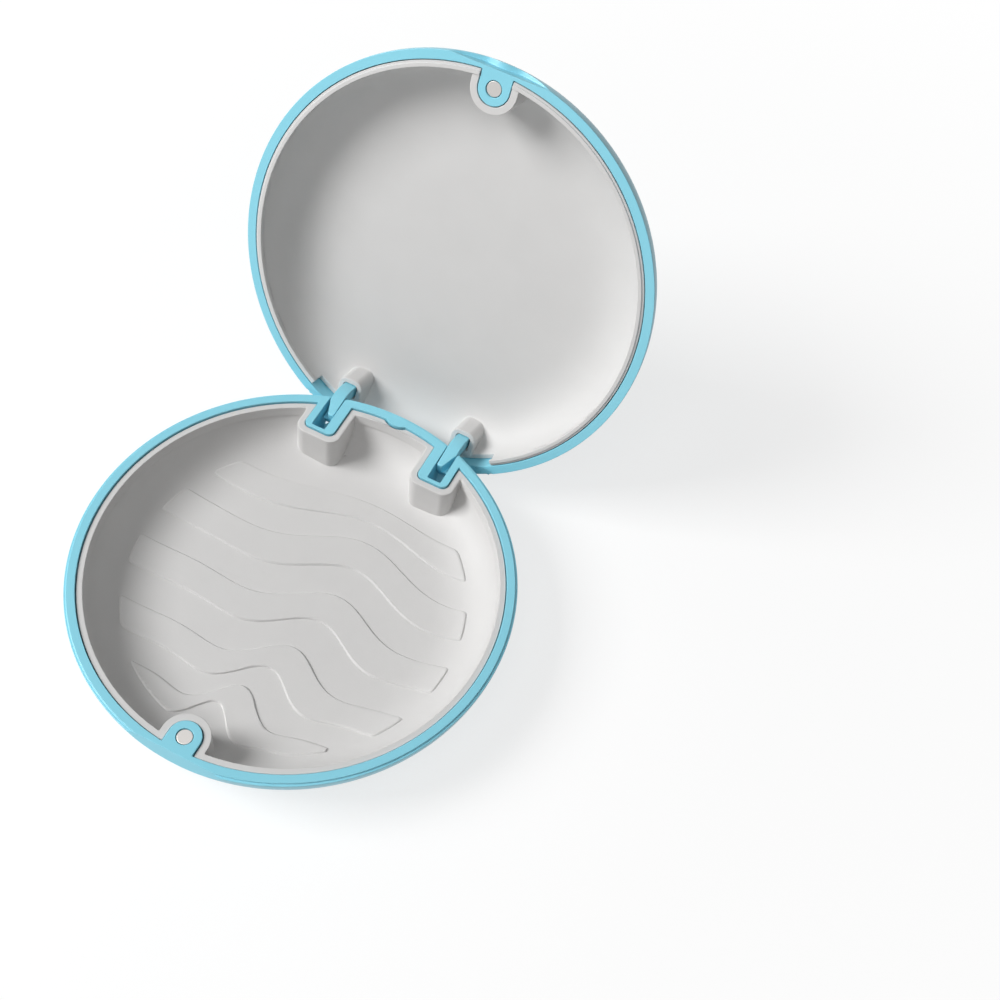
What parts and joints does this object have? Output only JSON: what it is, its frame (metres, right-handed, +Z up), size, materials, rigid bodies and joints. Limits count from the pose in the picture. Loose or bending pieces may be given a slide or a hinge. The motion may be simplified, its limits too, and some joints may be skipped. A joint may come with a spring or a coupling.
{
  "type": "denture case",
  "caption": "Round pebble-shaped hinged case for dentures: two-tone shells and liners, gooseneck hinge arms, magnetic catch and a lip-shaped thumb recess.",
  "frame": {"origin": "centre of the flat foot under the base", "axes": "+Z up, +Y towards the hinge, +X along the hinge axis, to the right seen from the thumb recess"},
  "size_m": [0.088, 0.1274, 0.082],
  "materials": {
    "shell": "satin sky blue",
    "liner": "matt light grey",
    "arm": "satin sky blue",
    "magnet": "nickel plated",
    "pin": "drawn steel"
  },
  "bodies": {
    "base": {"base_shell": "shell", "base_liner": "liner", "base_magnet": "magnet", "hinge_pin_left": "pin", "hinge_pin_right": "pin"},
    "lid": {"lid_shell": "shell", "lid_liner": "liner", "lid_magnet": "magnet", "hinge_arm_left": "arm", "hinge_arm_right": "arm"}
  },
  "joints": [
    {"name": "lid_hinge", "type": "hinge", "parent": "base", "child": "lid", "pos_m": [0, 0.0389, 0.0094], "axis": [1, 0, 0], "range_deg": [0, 115]}
  ]
}
